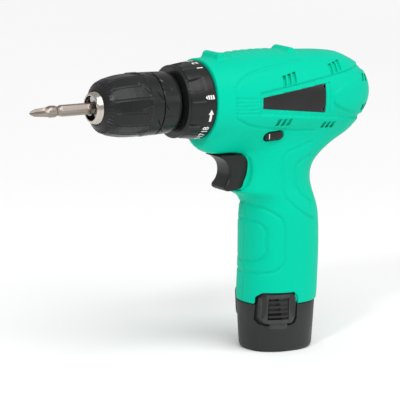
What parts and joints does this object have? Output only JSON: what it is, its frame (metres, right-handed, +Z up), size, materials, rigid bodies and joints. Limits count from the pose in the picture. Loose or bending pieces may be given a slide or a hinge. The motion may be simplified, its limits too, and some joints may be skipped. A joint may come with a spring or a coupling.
{
  "type": "cordless drill",
  "caption": "Compact pistol-grip cordless drill with a keyless chuck, torque collar, trigger and slide-in battery, holding a screwdriver bit.",
  "frame": {"origin": "centre of the flat underside of the battery, on which the drill stands", "axes": "+Z up through the handle; the chuck and bit point along -X; -Y is the left side of the tool"},
  "size_m": [0.231, 0.0534, 0.1829],
  "materials": {
    "green_plastic": "moulded green plastic, soft satin",
    "badge_film": "satin black label plate",
    "screw_steel": "blackened steel screws",
    "inner_plastic": "glass-filled nylon",
    "bush": "self-lubricating bush",
    "gear_steel": "ground steel",
    "motor_steel": "zinc-plated steel",
    "magnet": "ferrite",
    "rotor": "laminations and copper windings",
    "red_lead": "insulated wire",
    "black_lead": "insulated wire",
    "chuck_alloy": "die-cast and turned",
    "black_plastic": "satin black moulded plastic",
    "nickel": "polished nickel plate",
    "bit_steel": "satin tool steel",
    "trigger_plastic": "satin dark plastic",
    "battery_plastic": "fine textured dark grey plastic",
    "cell_wrap": null
  },
  "bodies": {
    "root": {"left_housing": "green_plastic", "right_housing": "green_plastic", "left_badge": "badge_film", "right_badge": "badge_film", "screw_top_front": "screw_steel", "screw_top_rear": "screw_steel", "screw_chin": "screw_steel", "screw_neck": "screw_steel", "screw_rear": "screw_steel", "gearbox_case": "inner_plastic", "clutch_ball_1": "gear_steel", "clutch_ball_2": "gear_steel", "clutch_ball_3": "gear_steel", "front_bush": "bush", "gearbox_back_plate": "inner_plastic", "clutch_ring_gear": "inner_plastic", "first_ring_gear": "inner_plastic", "clutch_washer": "gear_steel", "clutch_spring": "gear_steel", "motor_can": "motor_steel", "motor_end_bell": "inner_plastic", "upper_magnet": "magnet", "lower_magnet": "magnet", "switch_body": "inner_plastic", "terminal_block": "inner_plastic", "negative_motor_lead": "black_lead", "positive_motor_lead": "red_lead", "trigger_spring": "gear_steel"},
    "spindle": {"spindle": "gear_steel", "chuck_body": "chuck_alloy", "chuck_rear_sleeve": "black_plastic", "chuck_screw": "screw_steel"},
    "second_planet_1": {"second_planet_1": "gear_steel"},
    "second_planet_2": {"second_planet_2": "gear_steel"},
    "second_planet_3": {"second_planet_3": "gear_steel"},
    "first_carrier": {"first_carrier": "gear_steel"},
    "first_planet_1": {"first_planet_1": "gear_steel"},
    "first_planet_2": {"first_planet_2": "gear_steel"},
    "first_planet_3": {"first_planet_3": "gear_steel"},
    "motor_rotor": {"motor_rotor": "rotor", "motor_pinion": "gear_steel"},
    "chuck_sleeve": {"chuck_sleeve": "black_plastic", "nose_ring": "nickel", "chuck_nut": "gear_steel"},
    "jaw_1": {"jaw_1": "gear_steel"},
    "jaw_2": {"jaw_2": "gear_steel"},
    "jaw_3": {"jaw_3": "gear_steel"},
    "screwdriver_bit": {"screwdriver_bit": "bit_steel"},
    "torque_collar": {"torque_collar": "black_plastic"},
    "clutch_nut": {"clutch_nut": "inner_plastic"},
    "trigger": {"trigger": "trigger_plastic"},
    "direction_button": {"direction_button": "trigger_plastic"},
    "battery": {"battery_base": "battery_plastic", "battery_stick": "battery_plastic", "cell_1": "cell_wrap", "cell_2": "cell_wrap", "cell_3": "cell_wrap"},
    "left_latch": {"left_latch": "battery_plastic"},
    "right_latch": {"right_latch": "battery_plastic"}
  },
  "joints": [
    {"name": "spindle_spin", "type": "hinge", "parent": "root", "child": "spindle", "pos_m": [-0.09, 0, 0.155], "axis": [1, 0, 0], "continuous": true},
    {"name": "motor_spin", "type": "hinge", "parent": "root", "child": "motor_rotor", "pos_m": [0.01, 0, 0.155], "axis": [1, 0, 0], "continuous": true},
    {"name": "first_carrier_spin", "type": "hinge", "parent": "root", "child": "first_carrier", "pos_m": [-0.038, 0, 0.155], "axis": [1, 0, 0], "continuous": true},
    {"name": "collar_turn", "type": "hinge", "parent": "root", "child": "torque_collar", "pos_m": [-0.067, 0, 0.155], "axis": [1, 0, 0], "range_deg": [-26, 234]},
    {"name": "clutch_nut_screw", "type": "slide", "parent": "torque_collar", "child": "clutch_nut", "axis": [1, 0, 0], "range_m": [-0.0004, 0.0034], "deforming": ["clutch_spring"]},
    {"name": "chuck_sleeve_turn", "type": "hinge", "parent": "spindle", "child": "chuck_sleeve", "pos_m": [-0.11, 0, 0.155], "axis": [1, 0, 0], "range_deg": [0, 1980]},
    {"name": "bit_pull", "type": "slide", "parent": "spindle", "child": "screwdriver_bit", "axis": [-1, 0, 0], "range_m": [0, 0.03]},
    {"name": "trigger_pull", "type": "slide", "parent": "root", "child": "trigger", "axis": [1, 0, 0], "range_m": [0, 0.006], "stiffness_N_per_m": 800, "springref_m": -0.004, "deforming": ["trigger_spring"]},
    {"name": "direction_push", "type": "slide", "parent": "root", "child": "direction_button", "axis": [0, 1, 0], "range_m": [-0.0025, 0.0025]},
    {"name": "battery_slide", "type": "slide", "parent": "root", "child": "battery", "axis": [0, 0, -1], "range_m": [0, 0.1]},
    {"name": "left_latch_press", "type": "hinge", "parent": "battery", "child": "left_latch", "pos_m": [-0.0118, -0.0193, 0.012], "axis": [-1, 0, 0], "range_deg": [0, 2.2], "stiffness_Nm_per_rad": 6},
    {"name": "right_latch_press", "type": "hinge", "parent": "battery", "child": "right_latch", "pos_m": [-0.0118, 0.0193, 0.012], "axis": [1, 0, 0], "range_deg": [0, 2.2], "stiffness_Nm_per_rad": 6},
    {"name": "second_planet_1_spin", "type": "hinge", "parent": "spindle", "child": "second_planet_1", "pos_m": [-0.045, 0, 0.1646], "axis": [1, 0, 0], "continuous": true},
    {"name": "first_planet_1_spin", "type": "hinge", "parent": "first_carrier", "child": "first_planet_1", "pos_m": [-0.032, 0, 0.1646], "axis": [1, 0, 0], "continuous": true},
    {"name": "jaw_1_slide", "type": "slide", "parent": "spindle", "child": "jaw_1", "axis": [0.9659, 0, 0.2588], "range_m": [0, 0.0067]},
    {"name": "second_planet_2_spin", "type": "hinge", "parent": "spindle", "child": "second_planet_2", "pos_m": [-0.045, 0.00831, 0.1502], "axis": [1, 0, 0], "continuous": true},
    {"name": "first_planet_2_spin", "type": "hinge", "parent": "first_carrier", "child": "first_planet_2", "pos_m": [-0.032, 0.00831, 0.1502], "axis": [1, 0, 0], "continuous": true},
    {"name": "jaw_2_slide", "type": "slide", "parent": "spindle", "child": "jaw_2", "axis": [0.9659, 0.2241, -0.1294], "range_m": [0, 0.0067]},
    {"name": "second_planet_3_spin", "type": "hinge", "parent": "spindle", "child": "second_planet_3", "pos_m": [-0.045, -0.00831, 0.1502], "axis": [1, 0, 0], "continuous": true},
    {"name": "first_planet_3_spin", "type": "hinge", "parent": "first_carrier", "child": "first_planet_3", "pos_m": [-0.032, -0.00831, 0.1502], "axis": [1, 0, 0], "continuous": true},
    {"name": "jaw_3_slide", "type": "slide", "parent": "spindle", "child": "jaw_3", "axis": [0.9659, -0.2241, -0.1294], "range_m": [0, 0.0067]}
  ],
  "couplings": [
    {"joint": "motor_spin", "follows": "spindle_spin", "ratio": 28.444},
    {"joint": "first_carrier_spin", "follows": "spindle_spin", "ratio": 5.3333},
    {"joint": "clutch_nut_screw", "follows": "collar_turn", "m_per_rad": 0.00080802},
    {"joint": "second_planet_1_spin", "follows": "spindle_spin", "ratio": -2.6},
    {"joint": "first_planet_1_spin", "follows": "spindle_spin", "ratio": -13.867},
    {"joint": "jaw_1_slide", "follows": "chuck_sleeve_turn", "m_per_rad": 0.00019099},
    {"joint": "second_planet_2_spin", "follows": "spindle_spin", "ratio": -2.6},
    {"joint": "first_planet_2_spin", "follows": "spindle_spin", "ratio": -13.867},
    {"joint": "jaw_2_slide", "follows": "chuck_sleeve_turn", "m_per_rad": 0.00019099},
    {"joint": "second_planet_3_spin", "follows": "spindle_spin", "ratio": -2.6},
    {"joint": "first_planet_3_spin", "follows": "spindle_spin", "ratio": -13.867},
    {"joint": "jaw_3_slide", "follows": "chuck_sleeve_turn", "m_per_rad": 0.00019099}
  ]
}
